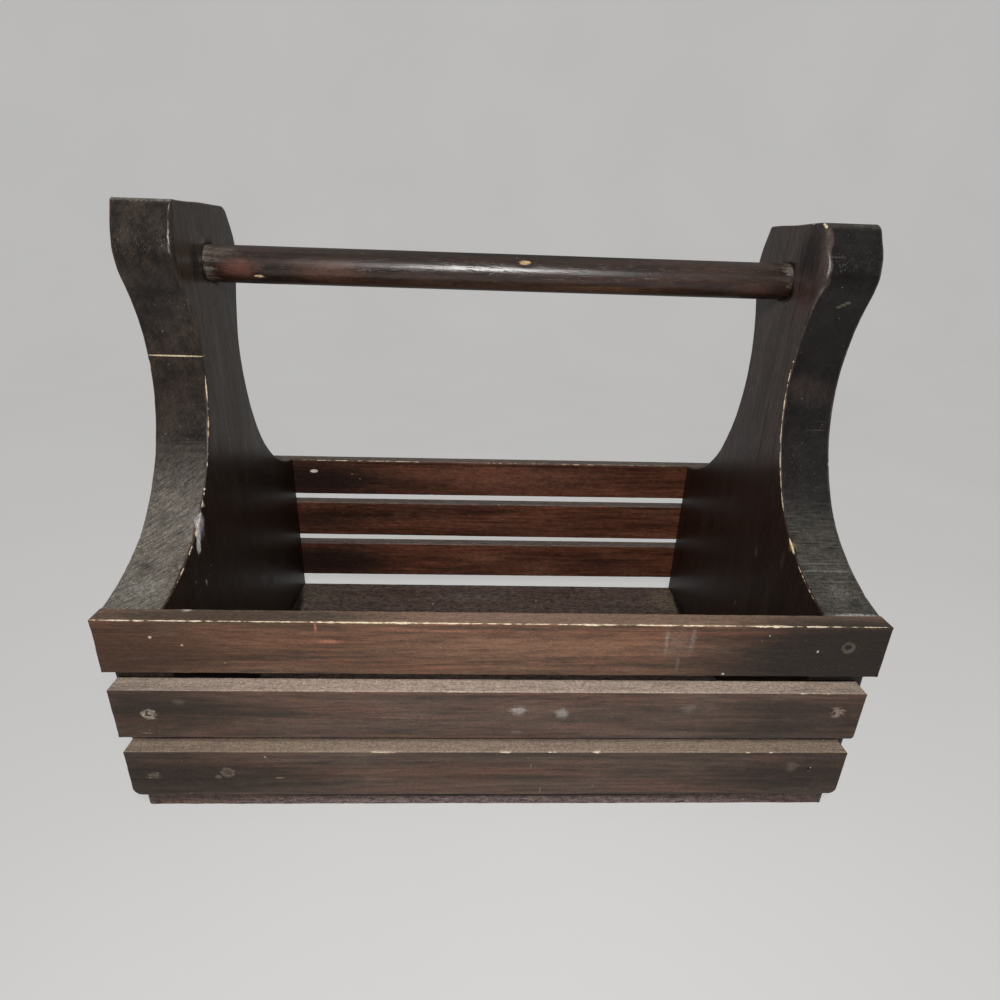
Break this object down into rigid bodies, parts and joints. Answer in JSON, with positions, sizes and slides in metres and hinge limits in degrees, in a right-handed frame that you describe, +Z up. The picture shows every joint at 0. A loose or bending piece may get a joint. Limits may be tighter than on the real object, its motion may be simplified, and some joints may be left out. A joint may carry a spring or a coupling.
{
  "type": "slatted wooden tool tote",
  "caption": "Open slatted wooden tote: two scooped end boards joined by a round dowel handle, side slats and a thin bottom board.",
  "frame": {"origin": "under the middle of the bottom board, on the surface that the tote stands on", "axes": "+X along the handle to the right end, +Y from the front slats to the back slats, +Z up"},
  "size_m": [0.241, 0.1556, 0.1944],
  "materials": {
    "end_boards": "old dark brown stain, satin, worn arrises",
    "slats": "old red-brown stain, satin, worn and dusty",
    "handle": "old red-brown stain polished by use",
    "bottom_board": "thin dark stain, dull and dusty",
    "nails": "dull punched finishing nail heads"
  },
  "bodies": {
    "root": {"left_end_board": "end_boards", "right_end_board": "end_boards", "bottom_board": "bottom_board", "handle_dowel": "handle", "front_slat_top": "slats", "front_slat_middle": "slats", "front_slat_bottom": "slats", "back_slat_top": "slats", "back_slat_middle": "slats", "back_slat_bottom": "slats", "front_slat_top_nails": "nails", "front_slat_middle_nails": "nails", "front_slat_bottom_nails": "nails", "back_slat_top_nails": "nails", "back_slat_middle_nails": "nails", "back_slat_bottom_nails": "nails", "left_bottom_nails": "nails", "right_bottom_nails": "nails", "handle_nails": "nails"}
  },
  "joints": []
}
